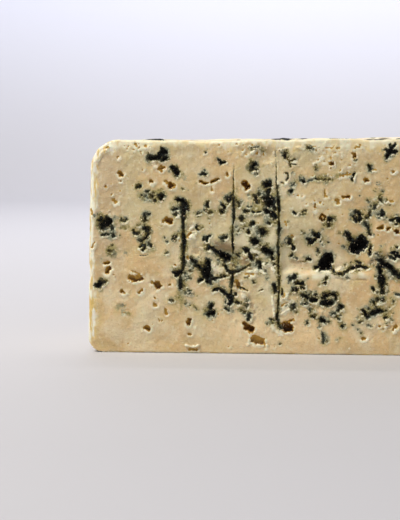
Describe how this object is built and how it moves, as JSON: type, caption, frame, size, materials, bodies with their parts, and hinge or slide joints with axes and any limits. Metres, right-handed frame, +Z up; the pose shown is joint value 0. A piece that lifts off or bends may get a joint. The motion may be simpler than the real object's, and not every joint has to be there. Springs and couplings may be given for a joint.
{
  "type": "blue cheese half wheel",
  "caption": "Half of a round blue-veined cheese, cut straight down, with needle channels, mould pockets and small eyes in the cut face and a rounded pale rind.",
  "frame": {"origin": "on the base, under the middle of the piece's box", "axes": "+Z up, +X along the cut face to the right as one faces it, -Y out of the cut face"},
  "size_m": [0.1964, 0.0988, 0.0966],
  "materials": {
    "cheese": "moist ivory paste with blue-black mould, semi-matt"
  },
  "bodies": {
    "root": {"cheese": "cheese"}
  },
  "joints": []
}
